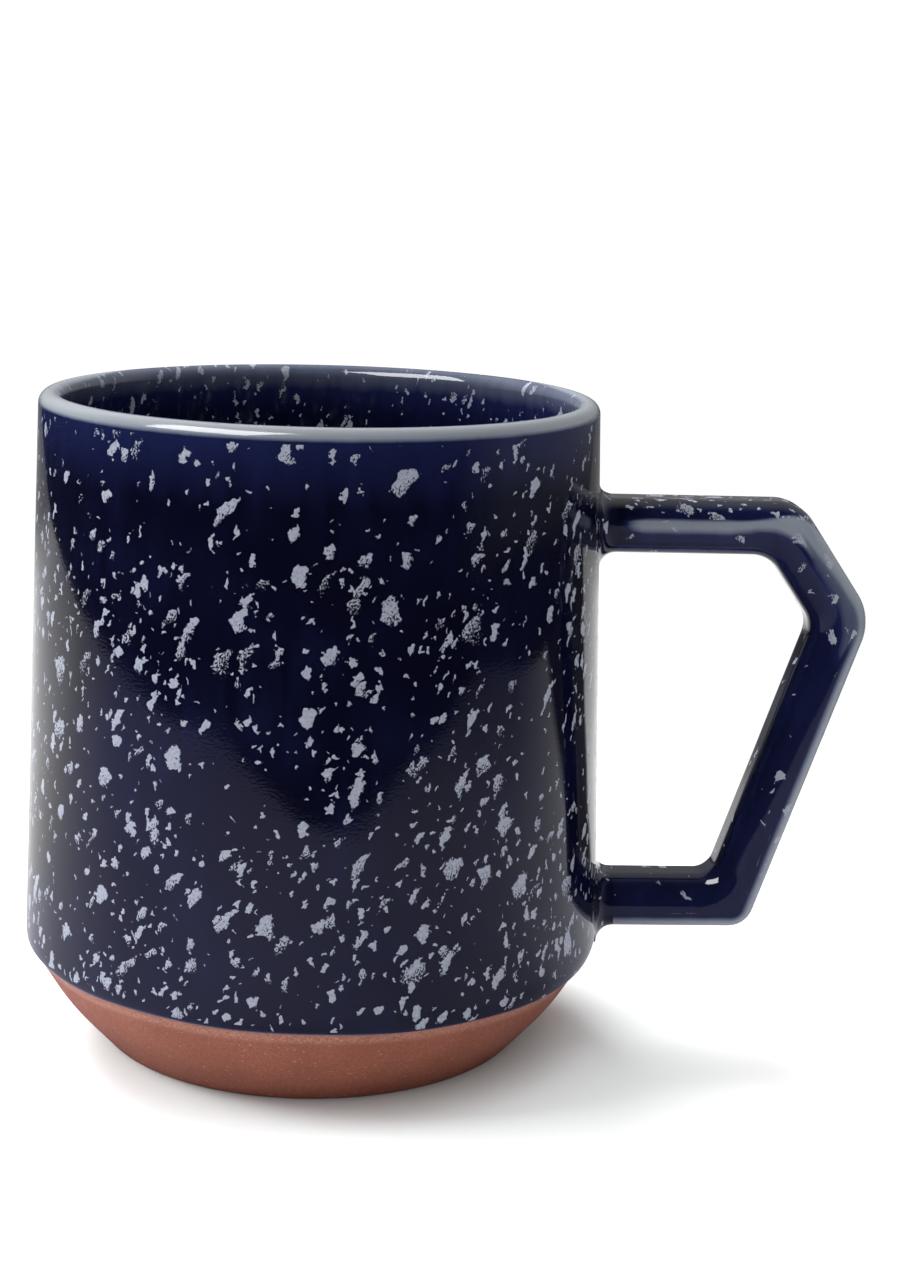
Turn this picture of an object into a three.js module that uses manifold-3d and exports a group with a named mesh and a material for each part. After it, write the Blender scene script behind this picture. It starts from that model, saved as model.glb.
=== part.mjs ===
// Earthenware mug: a terracotta cup and an angular cast handle, joined with slip and
// glazed dark blue inside and out, down to a bare bevelled foot.
//
// Millimetres, +Z up. The origin is on the cup's axis at the foot and the handle is towards +X.

import * as THREE from 'three';
import { mergeVertices } from 'three/addons/utils/BufferGeometryUtils.js';
import Module from 'manifold-3d';

// ---------------------------------------------------------------- driving dimensions

// Clay cup, before its glaze.
const CUP_HEIGHT = 94;
const RIM_RADIUS = 39.4;
const SHOULDER_RADIUS = 42.1; // widest, where the wall turns into the bevel above the foot
const SHOULDER_HEIGHT = 14.6;
const SHOULDER_BLEND = 5;
const BEVEL_SWELL_RADIUS = 37.6; // the bevel is slightly convex: it passes out through here
const BEVEL_SWELL_HEIGHT = 7;
const BEVEL_SWELL_BLEND = 30;
const FOOT_RADIUS = 31.4;
const FOOT_EDGE = 0.8;
const RIM_WALL = 2.4;
const FLOOR_THICKNESS = 5.6;
const HEEL_RADIUS = 38.9; // inside, where the wall would meet the floor without its curve
const HEEL_BLEND = 14;

// Glaze coats.
const GLAZE = 0.4;
const GLAZE_BED = 0.1; // between the clay and its glaze
const GLAZE_FOOT_LINE = 13.8; // the outside glaze stops here, and the clay below is bare
const LIP_BAND_LINE = 92.4; // the pale glaze on the lip starts here, outside and inside

// Handle, measured over its glaze. Bends are on the centre line, in X and Z.
const HANDLE_THICKNESS = 8;
const HANDLE_WIDTH = 10;
const HANDLE_EDGE = 3;
const HANDLE_ROOT_X = 30; // the arms are drawn from inside the cup and cut back to its wall
const UPPER_ARM_HEIGHT = 76.4;
const LOWER_ARM_HEIGHT = 19.3;
const HANDLE_BENDS = [
  { x: 67.8, z: UPPER_ARM_HEIGHT, outside: 6.5, inside: 5 },
  { x: 77.1, z: 62.9, outside: 8, inside: 4.5 },
  { x: 62.6, z: LOWER_ARM_HEIGHT, outside: 4, inside: 3 },
];

// Slip fillets round the handle's two roots.
const JOINT_REACH = 2.5; // along the arm, and out over the wall
const JOINT_STEP = 0.4; // the fillet's thickness where it ends on the arm

// Between pieces that are cut to fit each other.
const FIT_GAP = 0.3;

// Facets.
const ROUND_SEGMENTS = 60;
const BEND_STEP = Math.PI / 8; // angle of one facet in an outline's bend
const EDGE_SEGMENTS = 3;

// ---------------------------------------------------------------- outlines

/** An outline's corner: a point, and the radius of the bend that rounds it. */
function corner(x, y, radius = 0) {
  return { point: new THREE.Vector2(x, y), radius };
}

/** Moves an open outline sideways by `distance`, to the left of its direction of travel. */
function offsetOutline(corners, distance) {
  const directions = corners.slice(1).map((next, i) => next.point.clone().sub(corners[i].point).normalize());
  const leftOf = (direction) => new THREE.Vector2(-direction.y, direction.x);
  return corners.map(({ point, radius }, i) => {
    const before = directions[Math.max(i - 1, 0)];
    const after = directions[Math.min(i, directions.length - 1)];
    const mitre = leftOf(before).add(leftOf(after)).divideScalar(1 + before.dot(after));
    const turn = Math.sign(before.cross(after));
    return {
      point: point.clone().addScaledVector(mitre, distance),
      radius: Math.max(radius - turn * distance, 0),
    };
  });
}

/** The points of an open outline, with an arc at each corner that has a radius. */
function outlinePoints(corners) {
  const points = [];
  corners.forEach(({ point, radius }, i) => {
    if (radius === 0) {
      points.push(point.clone());
      return;
    }
    const before = point.clone().sub(corners[i - 1].point).normalize();
    const after = corners[i + 1].point.clone().sub(point).normalize();
    const angle = Math.atan2(before.cross(after), before.dot(after));
    const tangent = radius * Math.tan(Math.abs(angle) / 2);
    const start = point.clone().addScaledVector(before, -tangent);
    const side = Math.sign(angle);
    const centre = new THREE.Vector2(-before.y, before.x).multiplyScalar(side * radius).add(start);
    const facets = Math.ceil(Math.abs(angle) / BEND_STEP);
    for (let k = 0; k <= facets; k += 1) {
      points.push(start.clone().rotateAround(centre, (angle * k) / facets));
    }
  });
  return points;
}

// The cup's section, from the middle of the foot out, up the outside and over the lip.
const OUTSIDE_CORNERS = [
  corner(0, 0),
  corner(FOOT_RADIUS, 0, FOOT_EDGE),
  corner(BEVEL_SWELL_RADIUS, BEVEL_SWELL_HEIGHT, BEVEL_SWELL_BLEND),
  corner(SHOULDER_RADIUS, SHOULDER_HEIGHT, SHOULDER_BLEND),
  corner(RIM_RADIUS, CUP_HEIGHT, RIM_WALL / 2),
];

// Its section goes on down the inside and along the floor, back to the axis.
const CUP_CORNERS = [
  ...OUTSIDE_CORNERS,
  corner(RIM_RADIUS - RIM_WALL, CUP_HEIGHT, RIM_WALL / 2),
  corner(HEEL_RADIUS, FLOOR_THICKNESS, HEEL_BLEND),
  corner(0, FLOOR_THICKNESS),
];

/** Radius of the clay wall's outside at a height above the shoulder. */
function wallRadius(height) {
  const rise = (height - SHOULDER_HEIGHT) / (CUP_HEIGHT - SHOULDER_HEIGHT);
  return THREE.MathUtils.lerp(SHOULDER_RADIUS, RIM_RADIUS, rise);
}

/** The handle's closed side view, in X and Z, drawn `inset` inside its glazed surface. */
function handleShape(inset) {
  const half = HANDLE_THICKNESS / 2;
  const centreLine = (bendRadius) => [
    corner(HANDLE_ROOT_X, UPPER_ARM_HEIGHT),
    ...HANDLE_BENDS.map((bend) => corner(bend.x, bend.z, bendRadius(bend))),
    corner(HANDLE_ROOT_X, LOWER_ARM_HEIGHT),
  ];
  const outside = offsetOutline(centreLine((bend) => bend.outside - half), half - inset);
  const inside = offsetOutline(centreLine((bend) => bend.inside + half), inset - half);
  return new THREE.Shape([...outlinePoints(outside), ...outlinePoints(inside).reverse()]);
}

/** The section of an arm as a rounded rectangle, grown outwards by `grow`. */
function armSection(grow) {
  const x = HANDLE_THICKNESS / 2 + grow;
  const y = HANDLE_WIDTH / 2 + grow;
  const r = HANDLE_EDGE + grow;
  const shape = new THREE.Shape();
  shape.absarc(x - r, y - r, r, 0, Math.PI / 2);
  shape.absarc(r - x, y - r, r, Math.PI / 2, Math.PI);
  shape.absarc(r - x, r - y, r, Math.PI, 1.5 * Math.PI);
  shape.absarc(x - r, r - y, r, 1.5 * Math.PI, 2 * Math.PI);
  return shape;
}

// ---------------------------------------------------------------- solids

const wasm = await Module();
wasm.setup();

/** A closed three.js geometry as a solid that can be cut and joined. */
function solid(geometry) {
  const bare = geometry.index ? geometry.toNonIndexed() : geometry.clone();
  bare.deleteAttribute('normal');
  bare.deleteAttribute('uv');
  const merged = mergeVertices(bare, 1e-4);
  const vertProperties = new Float32Array(merged.attributes.position.array);
  const triVerts = new Uint32Array(merged.index.array);
  return new wasm.Manifold(new wasm.Mesh({ numProp: 3, vertProperties, triVerts }));
}

/** The solid of revolution about Z of a section that starts and ends on the axis. */
function turned(corners) {
  const geometry = new THREE.LatheGeometry(outlinePoints(corners), ROUND_SEGMENTS);
  geometry.rotateX(Math.PI / 2);
  return solid(geometry);
}

/** The cup with its inside filled, grown by `clearance`: what is cut away from its neighbours. */
function filledCup(clearance) {
  return turned([...offsetOutline(OUTSIDE_CORNERS, -clearance), corner(0, CUP_HEIGHT + clearance)]);
}

/** The whole handle, `inset` inside its glazed surface, running on into the cup. */
function handleBar(inset) {
  const edge = HANDLE_EDGE - inset;
  const geometry = new THREE.ExtrudeGeometry(handleShape(inset), {
    depth: HANDLE_WIDTH - 2 * HANDLE_EDGE,
    bevelThickness: edge,
    bevelSize: edge,
    bevelOffset: -edge,
    bevelSegments: EDGE_SEGMENTS,
  });
  geometry.rotateX(Math.PI / 2);
  geometry.translate(0, HANDLE_WIDTH / 2 - HANDLE_EDGE, 0);
  return solid(geometry);
}

/** A block round an arm's root whose end tapers to the arm, grown by `clearance`. */
function jointBlock(height, clearance) {
  const tip = wallRadius(height) + GLAZE_BED + GLAZE + JOINT_REACH;
  const geometry = new THREE.ExtrudeGeometry(armSection(JOINT_STEP + clearance), {
    depth: tip - HANDLE_ROOT_X - 2 * JOINT_REACH,
    bevelThickness: JOINT_REACH,
    bevelSize: JOINT_REACH,
    bevelSegments: 1,
    curveSegments: EDGE_SEGMENTS,
  });
  geometry.rotateY(Math.PI / 2);
  geometry.translate(HANDLE_ROOT_X + JOINT_REACH, 0, height);
  return solid(geometry);
}

/** The space in which one coat of glaze lies, as the solid of revolution of a plain section. */
function glazeZone(points) {
  return turned(points.map(([x, z]) => corner(x, z)));
}

// ---------------------------------------------------------------- pieces

const clayCup = turned(CUP_CORNERS);
const clayHandle = handleBar(GLAZE_BED + GLAZE).subtract(filledCup(FIT_GAP));

// The glaze follows the whole cup, and each coat is the part of it that lies in its own zone.
const coat = turned(offsetOutline(CUP_CORNERS, -GLAZE_BED - GLAZE))
  .subtract(turned(offsetOutline(CUP_CORNERS, -GLAZE_BED)));
const midWall = (height) => wallRadius(height) - RIM_WALL / 2;
const coatTop = LIP_BAND_LINE - GLAZE_BED;
const beyond = SHOULDER_RADIUS + HANDLE_EDGE;

const insideZone = glazeZone([
  [0, FLOOR_THICKNESS / 2],
  [FOOT_RADIUS - FLOOR_THICKNESS / 2, FLOOR_THICKNESS / 2],
  [midWall(SHOULDER_HEIGHT), SHOULDER_HEIGHT],
  [midWall(coatTop), coatTop],
  [0, coatTop],
]);
const outsideZone = glazeZone([
  [0, GLAZE_FOOT_LINE],
  [beyond, GLAZE_FOOT_LINE],
  [beyond, coatTop],
  [0, coatTop],
]).subtract(insideZone);
const lipZone = glazeZone([
  [0, LIP_BAND_LINE],
  [beyond, LIP_BAND_LINE],
  [beyond, CUP_HEIGHT + beyond],
  [0, CUP_HEIGHT + beyond],
]);

const outerGlaze = coat.intersect(outsideZone)
  .subtract(jointBlock(UPPER_ARM_HEIGHT, FIT_GAP))
  .subtract(jointBlock(LOWER_ARM_HEIGHT, FIT_GAP));
const innerGlaze = coat.intersect(insideZone);
const rimGlaze = coat.intersect(lipZone);
const handleGlaze = handleBar(0)
  .subtract(handleBar(GLAZE))
  .subtract(filledCup(GLAZE_BED + GLAZE + JOINT_REACH + FIT_GAP));

/** The slip fillet round one root of the handle. */
function jointFillet(height) {
  return jointBlock(height, 0)
    .intersect(filledCup(GLAZE_BED + GLAZE + JOINT_REACH))
    .subtract(filledCup(FIT_GAP))
    .subtract(handleBar(GLAZE_BED + GLAZE - FIT_GAP));
}

// ---------------------------------------------------------------- the assembly

/** A solid as a named mesh with its own material. */
function piece(name, body, color, roughness) {
  const { vertProperties, triVerts } = body.getMesh();
  const geometry = new THREE.BufferGeometry();
  geometry.setAttribute('position', new THREE.BufferAttribute(vertProperties, 3));
  geometry.setIndex(new THREE.BufferAttribute(triVerts, 1));
  geometry.computeVertexNormals();
  const mesh = new THREE.Mesh(geometry, new THREE.MeshStandardMaterial({ color, roughness, metalness: 0 }));
  mesh.name = name;
  return mesh;
}

const TERRACOTTA = 0x85503f;
const NAVY_GLAZE = 0x0d0f33;
const PALE_GLAZE = 0x9caab4;

const group = new THREE.Group();
group.add(
  piece('clay_cup', clayCup, TERRACOTTA, 0.85),
  piece('clay_handle', clayHandle, TERRACOTTA, 0.85),
  piece('upper_slip_joint', jointFillet(UPPER_ARM_HEIGHT), NAVY_GLAZE, 0.2),
  piece('lower_slip_joint', jointFillet(LOWER_ARM_HEIGHT), NAVY_GLAZE, 0.2),
  piece('outer_glaze', outerGlaze, NAVY_GLAZE, 0.15),
  piece('inner_glaze', innerGlaze, NAVY_GLAZE, 0.15),
  piece('rim_glaze', rimGlaze, PALE_GLAZE, 0.15),
  piece('handle_glaze', handleGlaze, NAVY_GLAZE, 0.15),
);

export default group;
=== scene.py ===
"""The mug's finished surface: bare terracotta foot, dark flecked glaze and pale lip.

Metres outside, millimetres (MM) inside the shape code. +Z is up and the handle is towards +X.
"""

import functools
import math

import bpy
import numpy as np
from mathutils import Matrix, Vector


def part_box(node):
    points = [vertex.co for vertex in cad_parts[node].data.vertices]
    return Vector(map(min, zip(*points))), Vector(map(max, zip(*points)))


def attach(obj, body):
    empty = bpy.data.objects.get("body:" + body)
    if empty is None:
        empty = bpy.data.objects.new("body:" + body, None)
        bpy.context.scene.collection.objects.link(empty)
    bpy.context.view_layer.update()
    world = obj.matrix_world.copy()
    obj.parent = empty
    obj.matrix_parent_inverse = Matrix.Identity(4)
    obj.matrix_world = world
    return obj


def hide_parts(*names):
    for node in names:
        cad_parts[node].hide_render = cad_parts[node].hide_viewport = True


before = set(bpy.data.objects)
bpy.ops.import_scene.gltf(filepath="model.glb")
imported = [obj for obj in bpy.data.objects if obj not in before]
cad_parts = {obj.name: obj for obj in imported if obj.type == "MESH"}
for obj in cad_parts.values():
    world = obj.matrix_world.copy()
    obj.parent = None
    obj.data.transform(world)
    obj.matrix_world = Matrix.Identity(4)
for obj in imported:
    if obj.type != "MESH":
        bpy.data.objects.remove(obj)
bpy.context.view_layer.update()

MM = 0.001


def node_mm(node):
    """A CAD node's box in millimetres: its low corner and its high one."""
    low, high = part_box(node)
    return np.array(low) / MM, np.array(high) / MM


# ---------------------------------------------------------------- sizes, from the frame

cup_high = node_mm("clay_cup")[1]
rim_low, rim_high = node_mm("rim_glaze")
glaze_low = node_mm("outer_glaze")[0]
handle_low, handle_high = node_mm("handle_glaze")
upper_low, upper_high = node_mm("upper_slip_joint")
lower_low, lower_high = node_mm("lower_slip_joint")

CUP_HEIGHT = cup_high[2]
COAT = rim_high[2] - CUP_HEIGHT  # the glaze's outside stands this far off the clay
DIP_LINE = glaze_low[2]
LIP_BAND_LINE = rim_low[2]
UPPER_ARM_HEIGHT = (upper_low[2] + upper_high[2]) / 2
LOWER_ARM_HEIGHT = (lower_low[2] + lower_high[2]) / 2
HANDLE_WIDTH = handle_high[1] - handle_low[1]
HANDLE_THICKNESS = 2 * (handle_high[2] - UPPER_ARM_HEIGHT)
HANDLE_REACH = handle_high[0]

# The cup's clay section, in the same terms as the CAD model.
SHOULDER_RADIUS = 42.1
SHOULDER_HEIGHT = 14.6
SHOULDER_BLEND = 5
SWELL_RADIUS = 37.6
SWELL_HEIGHT = 7
SWELL_BLEND = 30
FOOT_RADIUS = 31.4
FOOT_EDGE = 0.8
RIM_RADIUS = 39.4
RIM_WALL = 2.4
FLOOR_THICKNESS = 5.6
HEEL_RADIUS = 38.9
HEEL_BLEND = 14

# The handle's bends on its centre line. The knee's corner is set back from the handle's furthest point.
# Each bend is rounded by a radius on its outer edge and another on its inner edge.
UPPER_BEND_X = HANDLE_REACH - 12.9
UPPER_BEND_RADII = (6.5, 5)
KNEE_X = HANDLE_REACH - 3.6
KNEE_HEIGHT = 62.9
KNEE_RADII = (8, 4.5)
LOWER_BEND_X = HANDLE_REACH - 18.1
LOWER_BEND_RADII = (4, 3)
OUTER_ROUND = (2.5, 3.3)  # how deep and how wide the section's rounds are on the outer edge
INNER_ROUND = (5.1, 3.4)  # and on the inner edge
SINK = 1.4  # the handle's glaze starts this far inside the glazed wall
CORE_START = 0.2  # its clay starts this much further out
CORE_GAP = 0.02  # and lies this far inside the glaze all round
FILLET = 2.6  # radius of the slip fillets where the arms meet the wall
FILLET_PULL = 0.56 * FILLET  # how strongly a fillet's curve keeps to its first and last direction
FILLET_DEPTH = 0.7  # how far a fillet reaches into the glazed wall

# Mesh fineness.
ROUND = 288
FILLET_RINGS = 20


# ---------------------------------------------------------------- camera, floor, light


CAMERA_DISTANCE = 329  # from the middle of the mug
CAMERA_RISE = math.radians(14.77)
CAMERA_YAW = math.radians(3.49)
CAMERA_PITCH = math.radians(-12.6)
CAMERA_ROLL = math.radians(1.69)
CAMERA_LENS = 63.4


def make_camera():
    """The camera a little above the rim, turned slightly to the right and rolled a little."""
    forward = Vector((math.sin(CAMERA_YAW), math.cos(CAMERA_YAW), 0)) * math.cos(CAMERA_PITCH)
    forward.z = math.sin(CAMERA_PITCH)
    right = forward.cross(Vector((0, 0, 1))).normalized()
    up = right.cross(forward)
    right_rolled = right * math.cos(CAMERA_ROLL) + up * math.sin(CAMERA_ROLL)
    up_rolled = up * math.cos(CAMERA_ROLL) - right * math.sin(CAMERA_ROLL)
    back = -CAMERA_DISTANCE * math.cos(CAMERA_RISE)
    height = rim_high[2] / 2 + CAMERA_DISTANCE * math.sin(CAMERA_RISE)
    data = bpy.data.cameras.new("camera")
    data.lens = CAMERA_LENS
    data.clip_start = 0.01
    camera = bpy.data.objects.new("camera", data)
    turn = Matrix((right_rolled, up_rolled, -forward)).transposed()
    camera.matrix_world = Matrix.Translation(Vector((0, back, height)) * MM) @ turn.to_4x4()
    bpy.context.collection.objects.link(camera)
    bpy.context.scene.camera = camera


# The table top's front edge from left to right, as corners that are cut round. Metres.
TABLE_FRONT = [
    (-0.41, 0.145),
    (-0.375, -0.01),
    (-0.29, -0.15),
    (-0.175, -0.245),
    (-0.07, -0.24),
    (0.02, -0.203),
    (0.17, -0.225),
    (0.36, -0.17),
    (0.33, 0.0),
    (0.4, 0.145),
]
TABLE_BACK = [(0.5, 2), (-0.4, 2)]
WHITE_GLOW = 1.05  # just enough for a pure white


def rounded(corners, cuts):
    """A line with its corners cut off again and again, which makes it round."""
    line = np.array(corners)
    for _ in range(cuts):
        before, after = line[:-1], line[1:]
        cut = np.stack([before * 0.75 + after * 0.25, before * 0.25 + after * 0.75], 1)
        line = np.array([line[0], *cut.reshape(-1, 2)[1:-1], line[-1]])
    return line


def mirrored_table(paint, x, depth, away):
    """How bright the table looks in the glaze, as painted reflection levels: a dim white, with a dark patch
    of painted shade beside the handle.

    depth is the distance behind the mug's axis, and away the distance from it.
    """
    right = paint.math("MULTIPLY", paint.remap(x, -0.02, 0.05), paint.remap(depth, 0, 0.1))
    level = paint.remap(depth, -0.05, 0.12, 0.2, 0.38)
    level = paint.math("MULTIPLY", level, paint.remap(right, 0, 1, 1, 1.25))
    level = paint.math("MULTIPLY", level, paint.remap(depth, 0.3, 0.42, 1, 0.3))
    level = paint.math("MULTIPLY", level, paint.remap(away, 0.1, 0.42, 1.1, 0.55))

    front_right = paint.math("MULTIPLY", paint.remap(x, 0, 0.08), paint.remap(depth, 0, -0.06))
    soft = paint.math("MULTIPLY", front_right, paint.remap(away, 0.19, 0.33, 0, 0.35))
    level = paint.math("MULTIPLY", level, paint.math("SUBTRACT", 1, soft))

    # Painted shade: the table is made dark beside the handle, only as the glaze sees it.
    beside = paint.remap(paint.math("SUBTRACT", x, paint.math("MULTIPLY", depth, 1.2)), 0, 0.012)
    beside = paint.math("MULTIPLY", beside, paint.remap(depth, 0.045, 0.06))
    level = paint.math("MULTIPLY", level, paint.remap(beside, 0, 1, 1, 0.05))

    front_blue = paint.remap(x, -0.25, 0.2, 1.75, 1.3)
    blue = paint.math("MULTIPLY", level, paint.number_mix(paint.remap(depth, -0.08, 0.06), front_blue, 1))
    return paint.join(level, level, blue)


def make_floor():
    """A white table top with a rounded front. It glows at the back, which only the camera sees."""
    corners = [(x, y, 0) for x, y in [*TABLE_BACK, *rounded(TABLE_FRONT, 3).tolist()]]
    mesh = bpy.data.meshes.new("table_top")
    mesh.from_pydata(corners, [], [tuple(range(len(corners)))])
    table = bpy.data.objects.new("table_top", mesh)
    bpy.context.collection.objects.link(table)

    paint = Paint("table_white")
    place = paint.node("TexCoord").outputs["Object"]
    x, depth, _ = paint.split(place)
    away = paint.vector("LENGTH", place)
    plain = paint.remap(away, 0.03, 0.07)  # bluer close by, against the clay's red light
    white = paint.blend(plain, color(0.84, 0.9, 0.91), color(0.9, 0.9, 0.9))
    paint.put(white, paint.shader.inputs["Base Color"])
    paint.shader.inputs["Roughness"].default_value = 0.9
    paint.shader.inputs["Specular IOR Level"].default_value = 0.1
    dim = paint.node("BsdfDiffuse")
    paint.put(mirrored_table(paint, x, depth, away), dim.inputs["Color"])
    glow = paint.node("Emission")
    glow.inputs["Color"].default_value = color(1, 1, 1)
    glow.inputs["Strength"].default_value = WHITE_GLOW

    path = paint.node("LightPath")
    far = paint.remap(depth, 0.03, 0.2, smooth=True)
    seen_far = paint.math("MULTIPLY", path.outputs["Is Camera Ray"], far)
    surface = paint.mix_shaders(path.outputs["Is Glossy Ray"], paint.shader.outputs[0], dim.outputs[0])
    surface = paint.mix_shaders(seen_far, surface, glow.outputs[0])
    paint.put(surface, paint.tree.nodes["Material Output"].inputs["Surface"])
    mesh.materials.append(paint.material)


def make_area_light(name, place, aim, size, power):
    data = bpy.data.lights.new(name, "AREA")
    data.shape = "RECTANGLE"
    data.size, data.size_y = size
    data.energy = power
    light = bpy.data.objects.new(name, data)
    light.location = place
    light.rotation_mode = "QUATERNION"
    light.rotation_quaternion = (Vector(aim) - Vector(place)).to_track_quat("-Z", "Y")
    bpy.context.collection.objects.link(light)
    return light


SOFT_ROUND = 0.5  # strength of the soft light from all round
SOFT_ABOVE = 1.5  # what is added to it overhead
LEAST_GLOSS = 0.015  # the darkest that the room is in the gloss


def make_world():
    """A white room: bright all round as soft light, but a dark ceiling and front in the gloss."""
    world = bpy.data.worlds.new("studio")
    world.use_nodes = True
    bpy.context.scene.world = world
    paint = Paint.on_tree(world.node_tree)
    x, y, z = paint.split(paint.node("TexCoord").outputs["Generated"])
    above = paint.remap(z, 0.55, 0.95, SOFT_ROUND, SOFT_ROUND + SOFT_ABOVE, smooth=True)
    soft = paint.math("MULTIPLY", above, paint.remap(x, -1, 1, 1.5, 0.6))

    behind = paint.math("MULTIPLY", paint.remap(y, -0.35, 0.3), paint.remap(y, 0.5, 1, 0.6, 0.28))
    behind = paint.math("MULTIPLY", behind, paint.remap(z, -0.05, 0.1))
    side = paint.math("ADD", x, paint.math("MULTIPLY", y, 0.4))
    side = paint.math("MULTIPLY", paint.remap(side, 0.6, 0.9), paint.remap(z, -0.145, -0.1, 0, 0.19))
    gloss = paint.math("ADD", paint.math("MAXIMUM", behind, side), LEAST_GLOSS)

    path = paint.node("LightPath")
    level = paint.number_mix(path.outputs["Is Glossy Ray"], soft, gloss)
    level = paint.number_mix(path.outputs["Is Camera Ray"], level, WHITE_GLOW)
    background = paint.node("Background")
    background.inputs["Color"].default_value = color(1, 1, 1)
    paint.put(level, background.inputs["Strength"])
    paint.put(background.outputs[0], paint.tree.nodes["World Output"].inputs["Surface"])


def make_lights():
    """A key and a back light that the glaze doesn't mirror, and a window that is only mirrored."""
    key = make_area_light("key", (-0.8, -0.1, 0.7), (0, 0, 0.05), (0.4, 0.3), 7)
    key.visible_glossy = False
    window = make_area_light("window", (-0.6, -0.45, 0.85), (0, 0, 0.05), (0.85, 0.7), 25)
    window.visible_diffuse = False
    back = make_area_light("back", (-0.25, 0.6, 0.52), (0.05, 0.1, 0), (0.6, 0.4), 13)
    back.visible_glossy = False


# ---------------------------------------------------------------- paint


class Paint:
    """A material with one Principled shader, and short calls that add nodes to it."""

    def __init__(self, name):
        self.material = bpy.data.materials.new(name)
        self.material.use_nodes = True
        self.tree = self.material.node_tree
        self.shader = self.tree.nodes["Principled BSDF"]

    @classmethod
    def on_tree(cls, tree):
        made = cls.__new__(cls)
        made.tree = tree
        return made

    def put(self, value, socket):
        """Links a socket to an input, or sets the input to a plain value."""
        if isinstance(value, bpy.types.NodeSocket):
            self.tree.links.new(value, socket)
        elif value is not None:
            socket.default_value = value

    def node(self, kind, **settings):
        made = self.tree.nodes.new("ShaderNode" + kind)
        for key, value in settings.items():
            setattr(made, key, value)
        return made

    def math(self, operation, a, b=None, c=None):
        made = self.node("Math", operation=operation)
        for socket, value in zip(made.inputs, (a, b, c)):
            self.put(value, socket)
        return made.outputs[0]

    def vector(self, operation, a, b=None):
        made = self.node("VectorMath", operation=operation)
        self.put(a, made.inputs[0])
        self.put(b, made.inputs["Scale"] if operation == "SCALE" else made.inputs[1])
        return made.outputs["Value"] if operation in ("LENGTH", "DOT_PRODUCT") else made.outputs["Vector"]

    def turn(self, vector, angle):
        """A vector turned about Z."""
        made = self.node("VectorRotate", rotation_type="Z_AXIS")
        self.put(vector, made.inputs["Vector"])
        self.put(angle, made.inputs["Angle"])
        return made.outputs[0]

    def split(self, vector):
        made = self.node("SeparateXYZ")
        self.put(vector, made.inputs[0])
        return made.outputs

    def join(self, x, y, z=0.0):
        made = self.node("CombineXYZ")
        for socket, value in zip(made.inputs, (x, y, z)):
            self.put(value, socket)
        return made.outputs[0]

    def noise(self, vector, size, detail=2.0, roughness=0.5, colored=False):
        """Noise whose lumps are about `size` across, from 0 to 1."""
        made = self.node("TexNoise")
        self.put(vector, made.inputs["Vector"])
        made.inputs["Scale"].default_value = 1 / size
        made.inputs["Detail"].default_value = detail
        made.inputs["Roughness"].default_value = roughness
        return made.outputs["Color" if colored else "Fac"]

    def remap(self, value, low, high, to_low=0.0, to_high=1.0, smooth=False):
        made = self.node("MapRange", interpolation_type="SMOOTHSTEP" if smooth else "LINEAR")
        names = ("Value", "From Min", "From Max", "To Min", "To Max")
        for name, given in zip(names, (value, low, high, to_low, to_high)):
            self.put(given, made.inputs[name])
        return made.outputs["Result"]

    def blend(self, amount, a, b):
        """Colour a where amount is 0 and b where it is 1."""
        made = self.node("Mix", data_type="RGBA")
        for index, value in ((0, amount), (6, a), (7, b)):
            self.put(value, made.inputs[index])
        return made.outputs[2]

    def mix_shaders(self, amount, a, b):
        """Shader a where amount is 0 and b where it is 1."""
        made = self.node("MixShader")
        for index, value in enumerate((amount, a, b)):
            self.put(value, made.inputs[index])
        return made.outputs[0]

    def number_mix(self, amount, a, b):
        """Number a where amount is 0 and b where it is 1."""
        made = self.node("Mix", data_type="FLOAT")
        for index, value in ((0, amount), (2, a), (3, b)):
            self.put(value, made.inputs[index])
        return made.outputs[0]

    def attribute(self, name):
        return self.node("Attribute", attribute_name=name).outputs["Fac"]

    def place(self):
        """The point on the object, in millimetres."""
        return self.vector("SCALE", self.node("TexCoord").outputs["Object"], 1 / MM)

    def wrap(self):
        """The point on the skin, in millimetres round and along it."""
        return self.node("UVMap", uv_map="Wrap").outputs[0]

    def bump(self, height, distance, normal=None):
        made = self.node("Bump")
        made.inputs["Distance"].default_value = distance * MM
        self.put(height, made.inputs["Height"])
        self.put(normal, made.inputs["Normal"])
        return made.outputs[0]


def color(red, green, blue):
    return (red, green, blue, 1)


# ---------------------------------------------------------------- glaze and clay


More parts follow.
